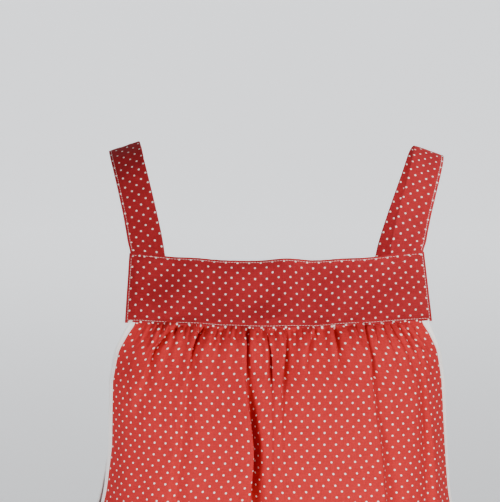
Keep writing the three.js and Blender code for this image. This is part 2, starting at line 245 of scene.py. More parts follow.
def yoke_point(half, across, down):
    """A point of a band's middle surface: across from -1 to 1, down from 0 at the top to 1 at the seam."""
    across, down = np.broadcast_arrays(np.asarray(across, float), np.asarray(down, float))
    width = (yoke_top_width + (yoke_bottom_width - yoke_top_width) * down) / 2
    reach = half["reach"] + yoke_height * math.sin(half["lean"]) * down - half["set_back"] * across**2
    inside = np.clip(1 - across**2, 0, 1)
    top_sag = half["top_sag"][0] * inside ** half["top_sag"][1]
    top_sag = top_sag - half["lift"] * np.exp(-(((across - lift_place) / lift_width) ** 2))
    sag = top_sag + (half["bottom_sag"][0] * inside ** half["bottom_sag"][1] - top_sag) * down
    drop = half["drop"] + yoke_height * math.cos(half["lean"]) * down + sag
    return np.stack([across * width, half["facing"] * reach, -drop], axis=-1)


def unit(vectors):
    return vectors / np.maximum(np.linalg.norm(vectors, axis=-1, keepdims=True), 1e-9)


def grid_normals(points, row, column, toward):
    """Normals of a grid of points, all turned so that the one at a row and column points a given way."""
    normals = unit(np.cross(np.gradient(points, axis=1), np.gradient(points, axis=0)))
    return normals * np.sign(normals[row, column] @ np.array(toward, float))


def cloth_piece(name, middle, normals, wall, flat, materials):
    """A closed sheet from a grid of middle points, its wall, and its place on the flat cloth."""
    rows, columns = middle.shape[:2]
    wall = np.broadcast_to(wall, (rows, columns))[..., None]
    layers = np.stack([middle + normals * wall / 2, middle - normals * wall / 2]) / 1000
    index = np.arange(2 * rows * columns).reshape(2, rows, columns)
    front, behind = index

    def quads(a, b, c, d):
        return np.stack([a, b, c, d], axis=-1).reshape(-1, 4)

    faces = [
        quads(front[:-1, :-1], front[1:, :-1], front[1:, 1:], front[:-1, 1:]),
        quads(behind[:-1, :-1], behind[:-1, 1:], behind[1:, 1:], behind[1:, :-1]),
        quads(front[0, :-1], front[0, 1:], behind[0, 1:], behind[0, :-1]),
        quads(front[-1, 1:], front[-1, :-1], behind[-1, :-1], behind[-1, 1:]),
        quads(front[1:, 0], front[:-1, 0], behind[:-1, 0], behind[1:, 0]),
        quads(front[:-1, -1], front[1:, -1], behind[1:, -1], behind[:-1, -1]),
    ]
    two_sided = len(materials) > 1
    sides = np.concatenate([np.full(len(f), int(i == 1 and two_sided)) for i, f in enumerate(faces)])
    faces = np.concatenate(faces)
    mesh = bpy.data.meshes.new(name)
    mesh.from_pydata(layers.reshape(-1, 3).tolist(), [], faces.tolist())
    cloth_map = mesh.uv_layers.new(name="flat_cloth")
    flat = np.stack(np.broadcast_arrays(*flat), axis=-1).reshape(-1, 2)
    both = np.concatenate([flat, flat]) / 1000
    cloth_map.data.foreach_set("uv", both[faces.ravel()].ravel())
    mesh.polygons.foreach_set("material_index", sides)
    mesh.polygons.foreach_set("use_smooth", np.ones(len(faces), bool))
    border = np.zeros((2, rows, columns), bool)
    border[:, [0, -1], :] = True
    border[:, :, [0, -1]] = True
    border = border.ravel()
    ends = np.empty(2 * len(mesh.edges), int)
    mesh.edges.foreach_get("vertices", ends)
    ends = ends.reshape(-1, 2)
    same_layer = ends[:, 0] // (rows * columns) == ends[:, 1] // (rows * columns)
    crease = mesh.attributes.new("sharp_edge", "BOOLEAN", "EDGE")
    crease.data.foreach_set("value", border[ends[:, 0]] & border[ends[:, 1]] & same_layer)
    piece = bpy.data.objects.new(name, mesh)
    bpy.context.collection.objects.link(piece)
    for material in materials:
        mesh.materials.append(material)
    outward_faces(piece)
    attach(piece, "root")
    return piece


def outward_faces(piece):
    bpy.ops.object.select_all(action="DESELECT")
    bpy.context.view_layer.objects.active = piece
    piece.select_set(True)
    bpy.ops.object.mode_set(mode="EDIT")
    bpy.ops.mesh.select_all(action="SELECT")
    bpy.ops.mesh.normals_make_consistent(inside=False)
    bpy.ops.object.mode_set(mode="OBJECT")
    piece.select_set(False)


def rounded_edge(distance, wall, radius):
    """The wall of turned-in cloth at a distance from its folded edge, which is round."""
    inside = np.clip(distance / radius, 0.0, 1.0)
    return wall * np.sqrt(np.clip(1 - (1 - inside) ** 2, 0.03, 1))


def stitch_dent(distance, inset, dent, width=1.1):
    return dent * np.exp(-(((distance - inset) / width) ** 2))


def edge_spaced(count, fine):
    """Shares from 0 to 1, closer together towards both ends."""
    even = np.linspace(0, 1, count + 1)
    return even - fine * np.sin(2 * math.pi * even) / (2 * math.pi)


def make_yoke(name, half, seed, node):
    across = 2 * edge_spaced(yoke_columns, 0.85)[None, :] - 1
    down = edge_spaced(yoke_rows, 0.7)[:, None]
    u = across * yoke_bottom_width / 2
    v = down * yoke_height
    middle = yoke_point(half, across, down)
    normals = grid_normals(middle, 0, 0, (0, half["facing"], 0))
    to_side = (1 - np.abs(across)) * yoke_bottom_width / 2
    to_edge = np.minimum(np.minimum(v, yoke_height - v), to_side)
    wall = rounded_edge(to_edge, yoke_wall, yoke_edge_radius)
    wall = wall - stitch_dent(to_edge, topstitch_inset, topstitch_dent)
    near_stitches = np.exp(-(((to_edge - topstitch_inset) / 4.0) ** 2))
    swell = 1.5 * ripple(u, v, seed, 70) + 0.3 * ripple(u, v, seed + 1, 24)
    pucker = 0.24 * near_stitches * ripple(u, v * 0.3, seed + 2, 9)
    free = smooth(to_edge / 12)
    middle = middle + normals * (swell * free + pucker)[..., None]
    middle[..., 2] += 0.35 * ripple(u, v * 0, seed + 3, 60)
    flat = (u - print_across, v - print_down)
    # The band is drawn in the darker copy of the cotton, whose deeper red is painted shade.
    piece = cloth_piece(name, middle, normals, wall, flat, [cotton_painted_shade_copy])
    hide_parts(node)
    return piece, {"u": u, "v": v, "surface": middle + normals * wall[..., None] / 2, "normals": normals}


front_yoke, front_yoke_face = make_yoke("chest_yoke_band", chest, 21, "yoke_front")
back_yoke, back_yoke_face = make_yoke("back_yoke_band", back, 41, "yoke_back")

# Topstitching
#
# White polyester thread, in machine stitches 2.5 mm long that dip into the cloth at each end. One stitch is
# modelled and copied along each line.

# Spun polyester has a soft gloss broken by its twist. It is white, but so thin that it looks pinkish over
# red cloth.
thread_over_red = "#E9BFBE"
stitch_pitch = 2.9
stitch_length = 2.45
stitch_width = 0.46
stitch_rise = 0.12
twist_grain = 0.41667

polyester_thread, thread_inputs = new_material(
    "polyester_thread_spun",
    Base_Color=linear(thread_over_red),
    Roughness=0.55,
    Sheen_Weight=0.3,
)
along_thread = add_node(polyester_thread, "TexCoord", output="Object")
twist_noise = {"Vector": along_thread, "Scale": 1000 / twist_grain, "Detail": 1.0}
twist = add_node(polyester_thread, "TexNoise", twist_noise)
thread_bump = add_node(polyester_thread, "Bump", {"Height": twist, "Strength": 0.4, "Distance": 0.0001})
connect(polyester_thread, thread_bump, thread_inputs["Normal"])


def one_stitch():
    """The points and faces of a stitch that runs along X and stands up on Z, in mm."""
    bpy.ops.mesh.primitive_uv_sphere_add(segments=8, ring_count=6, radius=1.0, rotation=(0, math.pi / 2, 0))
    stitch = bpy.context.object
    bpy.ops.object.transform_apply(location=False, rotation=True, scale=False)
    points = np.array([v.co for v in stitch.data.vertices])
    faces = [list(p.vertices) for p in stitch.data.polygons]
    points[:, 0] = np.sign(points[:, 0]) * np.abs(points[:, 0]) ** 0.6 * stitch_length / 2
    points[:, 1] *= stitch_width / 2
    bowed = stitch_rise * (1 - (2 * points[:, 0] / stitch_length) ** 2)
    points[:, 2] = points[:, 2] * stitch_width / 2 + bowed
    bpy.data.objects.remove(stitch, do_unlink=True)
    return points, faces


stitch_points, stitch_faces = one_stitch()


def line_lengths(points):
    """The length along a line at each of its points."""
    return np.concatenate([[0], np.cumsum(np.linalg.norm(np.diff(points, axis=0), axis=1))])


def read_along(at, lengths, values):
    """The line's points or directions at chosen lengths along it."""
    return np.stack([np.interp(at, lengths, values[:, i]) for i in range(3)], axis=-1)


def stitch_line(name, lines):
    """A run of stitches along each line, given as its points and the cloth's normals there."""
    places = []
    nearby = 0.6
    for points, normals in lines:
        lengths = line_lengths(points)
        count = max(1, int(lengths[-1] / stitch_pitch))
        middles = (np.arange(count) + 0.5) * lengths[-1] / count
        at = read_along(middles, lengths, points)
        ahead = read_along(middles + nearby, lengths, points)
        behind = read_along(middles - nearby, lengths, points)
        up = unit(read_along(middles, lengths, normals))
        along = unit(ahead - behind)
        side = unit(np.cross(up, along))
        up = np.cross(along, side)
        copies = (
            at[:, None]
            + along[:, None] * stitch_points[None, :, :1]
            + side[:, None] * stitch_points[None, :, 1:2]
            + up[:, None] * stitch_points[None, :, 2:]
        )
        places.append(copies.reshape(-1, 3))
    points = np.concatenate(places) / 1000
    copies = len(points) // len(stitch_points)
    faces = [[i + k * len(stitch_points) for i in face] for k in range(copies) for face in stitch_faces]
    mesh = bpy.data.meshes.new(name)
    mesh.from_pydata(points.tolist(), [], faces)
    mesh.polygons.foreach_set("use_smooth", np.ones(len(faces), bool))
    mesh.materials.append(polyester_thread)
    piece = bpy.data.objects.new(name, mesh)
    bpy.context.collection.objects.link(piece)
    outward_faces(piece)
    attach(piece, "root")
    return piece


def on_grid(face, u, v):
    """Points and normals of a band's face at cloth coordinates, read between the grid's points."""
    columns, rows = face["u"][0], face["v"][:, 0]
    c = np.interp(u, columns, np.arange(len(columns)))
    r = np.interp(v, rows, np.arange(len(rows)))
    c0 = np.clip(np.floor(c).astype(int), 0, len(columns) - 2)
    r0 = np.clip(np.floor(r).astype(int), 0, len(rows) - 2)
    fc, fr = (c - c0)[:, None], (r - r0)[:, None]
    found = []
    for grid in (face["surface"], face["normals"]):
        upper = grid[r0, c0] * (1 - fc) + grid[r0, c0 + 1] * fc
        lower = grid[r0 + 1, c0] * (1 - fc) + grid[r0 + 1, c0 + 1] * fc
        found.append(upper * (1 - fr) + lower * fr)
    return found[0], unit(found[1])


def yoke_stitching(face):
    inset = topstitch_inset
    right = yoke_bottom_width / 2 - inset
    low = yoke_height - inset
    t = np.linspace(0, 1, 240)
    runs = [
        (-right + 2 * right * t, np.full_like(t, inset)),
        (-right + 2 * right * t, np.full_like(t, low)),
        (np.full_like(t, -right), inset + (low - inset) * t),
        (np.full_like(t, right), inset + (low - inset) * t),
    ]
    return [on_grid(face, u, v) for u, v in runs]


for band, face in ((front_yoke, front_yoke_face), (back_yoke, back_yoke_face)):
    thread = stitch_line(band.name.replace("band", "topstitching"), yoke_stitching(face))

# Straps
#
# Each strap is a strip of the same cotton folded in four and topstitched along its outer edge only; its
# inner edge is a fold. Both ends are caught between the layers of the bands. A strap lies flat and slopes
# outwards.

strap_width = 34.0
strap_wall = 2.0
strap_inset = 2.5
shoulder_spacing = 322.0
strap_shift = 4.0
strap_rise = 2.7
strap_rows = 180
strap_columns = 24
strap_tuck = 9.0
# A strap turns from its foot's slant to its own tilt over this length.
strap_turn = 26
strap_print = 3.0
# Run, fall, spread, tilt in degrees and outer edge of each knot, as the solids have them.
chest_course = (
    (1, 1, 0, 5, 1.12),
    (0.88, 0.83, 0.14, 7, 1.08),
    (0.72, 0.59, 0.36, 10, 1.02),
    (0.56, 0.37, 0.58, 13, 1),
    (0.39, 0.19, 0.77, 16, 1),
    (0.2, 0.065, 0.92, 19, 1),
    (0, 0, 1, 19.5, 1),
)
back_course = (
    (0.3, 0.06, 0.93, 19, 1),
    (0.58, 0.22, 0.8, 15, 1),
    (0.8, 0.5, 0.5, 10, 1),
    (0.93, 0.78, 0.2, 6, 1),
    (1, 1, 0, 5, 1.06),
)


def spline(knots, count):
    """A centripetal curve through the knots: the points and the knot number at each."""
    padded = np.concatenate([[2 * knots[0] - knots[1]], knots, [2 * knots[-1] - knots[-2]]])
    numbers = np.linspace(0, len(knots) - 1, count)
    points = []
    for number in numbers:
        i = min(int(number), len(knots) - 2)
        a, b, c, d = padded[i : i + 4]
        t0, t1, t2 = (max(np.linalg.norm(q - p) ** 0.5, 1e-4) for p, q in ((a, b), (b, c), (c, d)))
        leave = ((b - a) / t0 - (c - a) / (t0 + t1) + (c - b) / t1) * t1
        arrive = ((c - b) / t1 - (d - b) / (t1 + t2) + (d - c) / t2) * t1
        s = number - i
        points.append(
            b * (2 * s**3 - 3 * s**2 + 1)
            + leave * (s**3 - 2 * s**2 + s)
            + c * (-2 * s**3 + 3 * s**2)
            + arrive * (s**3 - s**2)
        )
    return np.array(points), numbers


def make_strap(name, side, seed, node):
    foot_x = yoke_top_width / 2 - strap_inset - strap_width / 2
    foot_across = foot_x / (yoke_top_width / 2)
    knots, tilts, outers = [], [], []
    for half, course in ((chest, chest_course), (back, back_course)):
        foot = yoke_point(half, foot_across, 0.0)
        for run, fall, spread, tilt, outer in course:
            x = side * (foot_x + (shoulder_spacing / 2 - foot_x) * spread) + strap_shift * spread
            z = foot[2] * fall + (strap_wall / 2 - side * strap_rise) * (1 - fall)
            knots.append([x, foot[1] * run, z])
            tilts.append(tilt)
            outers.append(outer)
    centre, numbers = spline(np.array(knots), strap_rows + 1)
    lengths = line_lengths(centre)
    even = np.linspace(0, lengths[-1], strap_rows + 1)
    centre = read_along(even, lengths, centre)
    numbers = np.interp(even, lengths, numbers)
    tilt = np.radians(np.interp(numbers, np.arange(len(tilts)), tilts))
    outer = np.interp(numbers, np.arange(len(outers)), outers)
    along = unit(np.gradient(centre, axis=0))
    level = np.stack([side * np.cos(tilt), np.zeros_like(tilt), -np.sin(tilt)], axis=-1)
    square = unit(level - along * np.sum(level * along, axis=-1, keepdims=True))
    for half, share in ((chest, even / strap_turn), (back, (even[-1] - even) / strap_turn)):
        step = yoke_point(half, side * (foot_across + 0.01), 0.0)
        step = step - yoke_point(half, side * (foot_across - 0.01), 0.0)
        blend = smooth(share)[:, None]
        square = unit(unit(step) * (1 - blend) + square * blend)
    tucks = []
    for half, at, order in ((chest, 0, 1), (back, -1, -1)):
        drops = (strap_tuck, strap_tuck / 2, 1.0)[::order]
        below = np.array([yoke_point(half, side * foot_across, d / yoke_height) for d in drops])
        tucks.append(below + centre[at] - yoke_point(half, side * foot_across, 0.0))
    centre = np.concatenate([tucks[0], centre, tucks[1]])
    square = np.concatenate([square[:1].repeat(3, 0), square, square[-1:].repeat(3, 0)])
    outer = np.concatenate([outer[:1].repeat(3), outer, outer[-1:].repeat(3)])
    lengths = line_lengths(centre)
    share = edge_spaced(strap_columns, 0.8)[None, :]
    reach = (outer[:, None] * (1 - share) - share) * strap_width / 2
    middle = centre[:, None] + square[:, None] * reach[..., None]
    normals = grid_normals(middle, len(middle) // 2, 0, (0, 0, 1))
    from_outer = outer[:, None] * strap_width / 2 - reach
    to_edge = np.minimum(from_outer, reach + strap_width / 2)
    tucked = smooth(np.minimum(lengths, lengths[-1] - lengths) / strap_tuck)[:, None]
    wall = rounded_edge(to_edge, strap_wall, 1.1) - stitch_dent(from_outer, topstitch_inset, 0.55)
    wall = 0.7 + (wall - 0.7) * tucked
    u, v = reach, lengths[:, None]
    swell = 0.45 * ripple(u, v, seed, 48) + 0.16 * ripple(u, v, seed + 1, 15)
    middle = middle + normals * (swell * tucked * smooth(to_edge / 6))[..., None]
    roll = 0.5 * ripple(u * 0, v, seed + 2, 70) * tucked
    middle = middle + normals * (roll * (reach / strap_width))[..., None]
    flat = (u * side + strap_print, v)
    # The strap is drawn in the darker copy of the cotton, whose deeper red is painted shade.
    piece = cloth_piece(name, middle, normals, wall, flat, [cotton_painted_shade_copy])
    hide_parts(node)
    surface = middle + normals * wall[..., None] / 2
    line, line_normals = [], []
    for r in range(4, len(lengths) - 4):
        column = np.interp(topstitch_inset, from_outer[r], np.arange(strap_columns + 1))
        c = min(int(column), strap_columns - 1)
        part = column - c
        line.append(surface[r, c] * (1 - part) + surface[r, c + 1] * part)
        line_normals.append(normals[r, c])
    thread = stitch_line(name + "_topstitching", [(np.array(line), np.array(line_normals))])


make_strap("strap_right_shoulder", -1, 61, "strap_right")
make_strap("strap_left_shoulder", 1, 81, "strap_left")

# Body panels
#
# The chest and the back panel are single sheets of cotton, gathered into the bands' lower edges and hemmed
# at the bottom. Small gathers start at the seam and run together into fewer, longer folds below, and the
# dots crowd together where the sheet folds.

shoulder_to_hem = 900.0
hem_width = 500.0
underarm_drop = 440.0
blouse_length = 38.0
cloth_wall = 0.7
hem_height = 25.0
hem_wall = 1.9
panel_tuck = 5.0
binding_width = 7.0
edge_in_binding = 2.0
# Above this drop the columns of the mesh are spaced as they are at it, so that the print runs straight down.
gather_start = 12.0
# The gathers have opened out at this drop.
gathers_open = 90.0
band_overhang = 4.0
# A fold fades in over this length above its first knot, and out over the next below its last.
fold_fade_in = 4
fold_fade_out = 30
# The cross-section at each share of the way down: width, sway, reaches and squareness of chest and back.
sections = np.array([
    (0, 0.69, 0, 0.79, 0.57, 3.9, 3.2),
    (0.04, 0.738, 0, 0.81, 0.6, 3.5, 2.8),
    (0.085, 0.759, -0.001, 0.83, 0.62, 3.2, 2.4),
    (0.12, 0.763, 0.002, 0.835, 0.63, 3, 2.2),
    (0.18, 0.763, 0.007, 0.83, 0.64, 2.8, 2.05),
    (0.245, 0.77, 0.005, 0.828, 0.66, 2.6, 2.05),
    (0.28, 0.78, 0.004, 0.83, 0.68, 2.5, 2.1),
    (0.37, 0.818, 0.003, 0.845, 0.73, 2.45, 2.2),
    (0.455, 0.846, 0.002, 0.86, 0.77, 2.45, 2.3),
    (0.73, 0.925, 0.001, 0.93, 0.89, 2.4, 2.4),
    (1, 1, 0, 1, 1, 2.3, 2.3),
])


def seam_drop(half):
    return half["drop"] + yoke_height * math.cos(half["lean"])


def panel_length(half):
    return shoulder_to_hem - seam_drop(half)


def section_value(half, down, column):
    share = np.clip(down / panel_length(half), 0, 1)
    return np.interp(share, sections[:, 0], sections[:, column])


def outline(half, down):
    """Half of the cross-section from the centre to the side: points, lengths along it, outward normals."""
    width = section_value(half, down, 1) * hem_width / 2
    reach = section_value(half, down, 3 if half is chest else 4) * half["hem_reach"]
    square = section_value(half, down, 5 if half is chest else 6)
    angle = np.linspace(0, math.pi / 2, 400)
    radius = ((np.sin(angle) / width) ** square + (np.cos(angle) / reach) ** square) ** (-1 / square)
    x, y = radius * np.sin(angle), radius * np.cos(angle)
    arc = np.concatenate([[0], np.cumsum(np.hypot(np.diff(x), np.diff(y)))])
    dx, dy = np.gradient(x), np.gradient(y)
    size = np.hypot(dx, dy)
    return x, y, arc, -dy / size, dx / size


def armhole_depth(half):
    return underarm_drop - seam_drop(half)


def armhole_reach(half):
    x, _, arc, _, _ = outline(half, 0)
    return arc[-1] - np.interp(yoke_bottom_width / 2, x, arc)


def corner_inset(down):
    """The armholes start a little inside the band's corners, which stand out over them."""
    return band_overhang * math.exp(-((max(down, 0) / 9) ** 2))


def armhole_edge(half, down, margin):
    """The distance from the side line to the armhole's edge, or to a line inside it by the margin."""
    share = max(down, 0) / (armhole_depth(half) + margin)
    if share >= 1:
        return 0.0
    reach = (armhole_reach(half) + margin) * (1 - share ** half["fall"]) ** (1 / half["turn"])
    return reach + corner_inset(down)


def armhole_down(half, angle, margin):
    return (armhole_depth(half) + margin) * math.sin(angle) ** (2 / half["fall"])


def drape(half, arc, down):
    """A panel without folds: points and outward directions at one drop, by length from the centre."""
    x, y, lengths, nx, ny = outline(half, down)
    edge = lengths[-1] - armhole_edge(half, down, 0)
    if down < armhole_depth(half):
        edge = edge + corner_inset(down)
    across = np.clip(arc / edge, -1.03, 1.03)
    away = np.minimum(np.abs(arc), lengths[-1])
    sway = section_value(half, down, 2) * hem_width / 2
    sign = np.sign(arc)
    level = np.full_like(away, -(seam_drop(half) + down))
    hung_across = sign * np.interp(away, lengths, x) + sway
    hung = np.stack([hung_across, half["facing"] * np.interp(away, lengths, y), level], -1)
    out_across = sign * np.interp(away, lengths, nx)
    out = np.stack([out_across, half["facing"] * np.interp(away, lengths, ny), np.zeros_like(away)], -1)
    low, high = yoke_point(half, across, 1.0), yoke_point(half, across, 0.0)
    slope = unit(low - high)
    seam = low + slope * down / math.cos(half["lean"])
    step = yoke_point(half, across + 0.01, 1.0) - yoke_point(half, across - 0.01, 1.0)
    band_out = unit(np.cross(slope, step))
    band_out = band_out * np.sign(band_out[..., 1:2] * half["facing"])
    settled = 1 - (1 - min(max(down, 0) / blouse_length, 1)) ** 1.8
    return seam + (hung - seam) * settled, unit(band_out + (out - band_out) * settled)


def fold(arc, down, knots, face):
    """How far a fold stands out, and how far its lip leans over the valley, at one drop. knots give drop,
    place, depth, valley width, crest width, steepness and lip. face is 1 where the valley is towards +x."""
    table = np.array(knots)
    above = down - table[0, 0] + fold_fade_in
    below = table[-1, 0] + fold_fade_out - down
    if above <= 0 or below <= 0:
        return 0.0, 0.0
    here = [np.interp(down, table[:, 0], table[:, i]) for i in range(1, 7)]
    place, depth, valley, crest, steep, lip = here
    shown = smooth(above / fold_fade_in) * smooth(below / fold_fade_out)
    away = (arc - place) * face
    step = smooth(away / steep + 0.5)
    sunk = step * (1 - smooth(away / (1.5 * valley)))
    raised = (1 - step) * np.exp(-((np.minimum(away, 0) / crest) ** 2))
    leaning = -np.sin(math.pi * np.clip(away / steep, -0.5, 0.5))
    leaning = leaning * np.exp(-((np.maximum(np.abs(away) - steep / 2, 0) / (2 + 2.5 * lip)) ** 2))
    return shown * depth * (0.45 * raised - sunk), shown * lip * face * leaning


def gather_list(seed, start, stop, fan):
    """Place, depth, length, lean and width of each gather of a seam. They fan out towards the sides."""
    found = np.random.default_rng(seed)
    places = []
    place = start
    while place < stop:
        size = found.uniform(0.25, 1.0)
        length = found.uniform(7, 13) + 30 * size**2.5
        leaning = fan * place / (yoke_top_width / 2) + found.uniform(-0.06, 0.06)
        places.append((place, 2.0 + 2.6 * size, length, leaning, 0.75 + 0.65 * size))
        place += found.uniform(3.8, 9.0)
    return places


# Thin creases that fan out below both seams: place, depth, length and lean.
thin_creases = (
    (-144, 1.6, 16, -0.5),
    (-137, 2.2, 18, -0.45),
    (-130, 1.8, 14, -0.42),
    (-124, 2.6, 22, -0.4),
    (-117, 2.4, 18, -0.3),
    (-111, 2, 12, -0.25),
    (-64, 2, 24, -0.06),
    (70, 1.6, 14, 0.15),
    (77, 2.2, 22, 0.22),
    (98.5, 2.2, 22, 0.05),
    (107, 2.4, 30, 0.22),
    (115, 2.6, 40, 0.38),
    (122, 2.6, 44, 0.5),
    (130, 2.6, 50, 0.52),
    (139, 2.2, 42, 0.5),
)


def gathers(arc, down, places, seed):
    """Thin creases, and narrow pits between soft rolls, that die away below the seam."""
    height = 0.0
    started = smooth((down + 1.5) / 4.0)
    for place, depth, length, lean in thin_creases:
        away = arc - place - lean * down
        width = 1.0 + max(down, 0) / 40
        shown = depth * math.exp(-((max(down, 0) / length) ** 3))
        ridge = 0.6 * np.exp(-((away / width) ** 2))
        groove = np.exp(-((away / width / 1.3 - 1.5) ** 2))
        height = height + shown * (ridge - groove)
    for place, depth, length, lean, width in places:
        away = (arc - place - lean * down) / (width * (1 + down / (length * 0.9)))
        slanted = np.where(away > 0, away * 0.55, away)
        height = height - depth * math.exp(-((max(down, 0) / length) ** 1.5)) * np.exp(-(slanted**2))
    rolls = math.exp(-max(down, 0) / 60) * ripple(arc, arc * 0 + down * 0.12, seed, 16)
    broad = 1.8 * math.exp(-max(down, 0) / 170) * smooth(down / 25)
    broad = broad * ripple(arc, arc * 0 + down * 0.1, seed + 1, 40)
    return started * (1.0 + height + rolls + broad)


# Each fold of a panel: the side its valley is on, and knots of drop, place, depth, valley width, crest
# width, steepness and lip.
chest_folds = (
    (1, [
        (0, -109, 3.6, 8, 12, 3.2, 0.2),
        (5, -115.5, 4.6, 7, 11, 2.4, 0.6),
        (10, -120, 6, 7, 11, 1.8, 1.4),
        (24, -127.5, 6.5, 6, 13, 1.8, 1.6),
        (41, -131.5, 4, 7, 14, 2.4, 0.8),
        (50, -134.5, 2.4, 10, 15, 4, 0.2),
        (66, -141, 2, 14, 16, 7, 0),
        (90, -152, 1.6, 16, 18, 9, 0),
    ]),
    (1, [
        (0, -81, 4.5, 5, 13, 1.6, 1),
        (8, -86.8, 7.5, 5.5, 15, 1.6, 2),
        (20, -88.8, 7, 5.5, 16, 1.6, 1.6),
        (32, -89.3, 4.5, 7, 17, 2, 1),
        (47, -90.5, 3, 10, 16, 3, 0.4),
        (66, -94, 3.2, 11, 14, 5, 0),
        (90, -99, 3.8, 12, 14, 5, 0),
        (130, -105, 4.2, 13, 15, 6, 0),
        (190, -113, 4.5, 20, 22, 10, 0),
        (320, -128, 5, 40, 36, 22, 0),
        (735, -150, 9, 60, 50, 40, 0),
    ]),
    (1, [
        (1, -37.6, 6, 4.5, 16, 1.6, 1),
        (18, -35.6, 9, 5, 18, 1.6, 2.2),
        (42, -34.1, 7.5, 6, 20, 2, 1.8),
        (58, -33.1, 7, 8, 21, 2.4, 1),
        (76, -32.1, 10, 8, 22, 2.6, 1.2),
        (100, -30.1, 15, 8, 24, 3, 1.8),
        (122, -28.6, 18, 8.5, 26, 3.2, 2.2),
        (142, -29.1, 18, 9, 27, 3.6, 2.2),
        (168, -30.6, 16, 11, 28, 4.5, 1.8),
        (220, -30, 12, 22, 32, 9, 1),
        (350, -34, 12, 38, 44, 20, 0),
        (735, -44, 15, 56, 60, 40, 0),
    ]),
    (-1, [
        (2, -14, 3, 4, 5, 1.6, 0.6),
        (14, -10, 6.5, 4.5, 6, 1.6, 1.6),
        (28, -7.5, 6.5, 5, 6, 1.6, 1.6),
        (48, -7, 5.5, 5, 6, 1.8, 1.2),
        (62, -7, 1.6, 4, 6, 1.8, 0.4),
        (100, -7.5, 1.1, 4, 5, 2, 0.2),
        (150, -9, 1, 5, 6, 2.4, 0),
        (200, -10, 1, 12, 12, 6, 0),
    ]),
    (1, [
        (4, 6.5, 3, 6, 5, 1.6, 0.6),
        (16, 5.5, 6.5, 7, 6, 1.6, 1.6),
        (30, 4, 8, 8, 6, 1.8, 2),
        (50, 2.5, 7, 10, 7, 2, 1.4),
        (72, 1.5, 5, 14, 8, 3.5, 0.4),
        (104, 1.5, 3, 18, 10, 6, 0),
        (170, 4, 2, 24, 12, 10, 0),
    ]),
    (1, [
        (1, 36, 3, 6, 7, 1.6, 0.8),
        (10, 32, 6, 8, 8, 1.8, 1.6),
        (22, 28, 6, 14, 9, 2, 1.4),
        (32, 27, 3.4, 16, 9, 3, 0.6),
        (50, 27, 1.8, 16, 10, 6, 0),
    ]),
    (1, [
        (0, 56, 4, 5, 8, 1.6, 1),
        (18, 57, 4.5, 6, 9, 1.8, 1),
        (32, 58, 2.6, 8, 10, 3, 0.4),
        (52, 59, 1, 9, 10, 5, 0),
    ]),
    (1, [
        (0, 88.5, 6, 4, 9, 1.6, 1.2),
        (22, 88.5, 7.5, 4.5, 10, 1.6, 1.8),
        (44, 90.5, 6, 5, 12, 1.8, 1.4),
        (58, 92.5, 4, 8, 13, 3, 0.4),
        (74, 95, 4, 10, 14, 5, 0),
        (114, 101, 6, 14, 16, 7, 0),
        (173, 108, 7.5, 17, 20, 9, 0),
        (320, 118, 6, 40, 36, 24, 0),
        (735, 146, 10, 60, 50, 40, 0),
    ]),
    (-1, [
        (46, 148, 3, 7, 10, 4, 0),
        (100, 155, 4.5, 8, 12, 5, 0),
        (160, 164, 4.5, 11, 14, 7, 0),
        (230, 172, 3, 18, 18, 14, 0),
    ]),
    (1, [
        (190, 46, 0.5, 30, 40, 20, 0),
        (350, 50, 6.5, 44, 44, 32, 0),
        (735, 58, 13, 56, 58, 40, 0),
    ]),
)
back_folds = (
    (1, [
        (1, -92, 4, 6, 12, 2, 1.2),
        (30, -96, 5.5, 8, 16, 2.4, 1),
        (90, -102, 4, 18, 24, 8, 0),
        (700, -140, 11, 52, 56, 40, 0),
    ]),
    (-1, [
        (1, -44, 4.5, 6, 12, 2, 1.2),
        (40, -42, 6.5, 9, 18, 2.6, 1.2),
        (120, -44, 5, 18, 26, 9, 0),
        (700, -52, 12, 52, 56, 40, 0),
    ]),
    (1, [
        (1, 10, 5, 5, 12, 2, 1.4),
        (36, 12, 7.5, 8, 18, 2.4, 1.6),
        (90, 13, 6.5, 14, 22, 5, 0.6),
        (160, 14, 6, 20, 28, 10, 0),
        (700, 20, 12, 52, 56, 40, 0),
    ]),
    (-1, [
        (1, 64, 4, 6, 12, 2, 1.2),
        (40, 68, 5.5, 9, 16, 2.6, 1),
        (120, 74, 4.5, 18, 24, 8, 0),
        (700, 104, 11, 52, 56, 40, 0),
    ]),
    (1, [
        (1, 112, 3.5, 5, 12, 2, 0.8),
        (34, 118, 4.2, 8, 14, 2.6, 0.6),
        (90, 128, 2, 16, 20, 8, 0),
    ]),
)
chest.update(folds=chest_folds, gathers=gather_list(5, -108, 66, 0.24), seed=101)
back.update(folds=back_folds, gathers=gather_list(9, -136, 138, 0.2), seed=131)


def relief(half, arc, down, to_edge):
    """How far the cloth stands out of the drape, and how far it is pushed sideways."""
    height = gathers(arc, down, half["gathers"], half["seed"])
    aside = np.zeros_like(arc)
    for face, knots in half["folds"]:
        raised, leaning = fold(arc, down, knots, face)
        height = height + raised
        aside = aside + leaning
    crumple = 0.35 * smooth(down / 40) * ripple(arc, arc * 0 + down, half["seed"] + 3, 34)
    # The binding holds the folds flat near it, and the side seam holds them over a wider strip.
    below = armhole_depth(half) - 20
    held = 26 + 30 * min(max(down - below, 0) / 60, 1)
    loose = smooth(to_edge / held)
    return loose * (height + crumple), loose * aside


def folded_row(half, arc, down, edge):
    """One row of a panel's cloth with its folds. Below the armhole its ends turn in at the side seam."""
    points, out = drape(half, arc, down)
    below = down > armhole_depth(half)
    to_edge = edge - np.abs(arc) - (0 if below else binding_width)
    height, aside = relief(half, arc, down, to_edge)
    if below:
        height = height - 1.5 * np.exp(-((to_edge / 1.8) ** 2))
    along = unit(np.gradient(points, axis=0))
    return points + out * height[:, None] + along * aside[:, None]


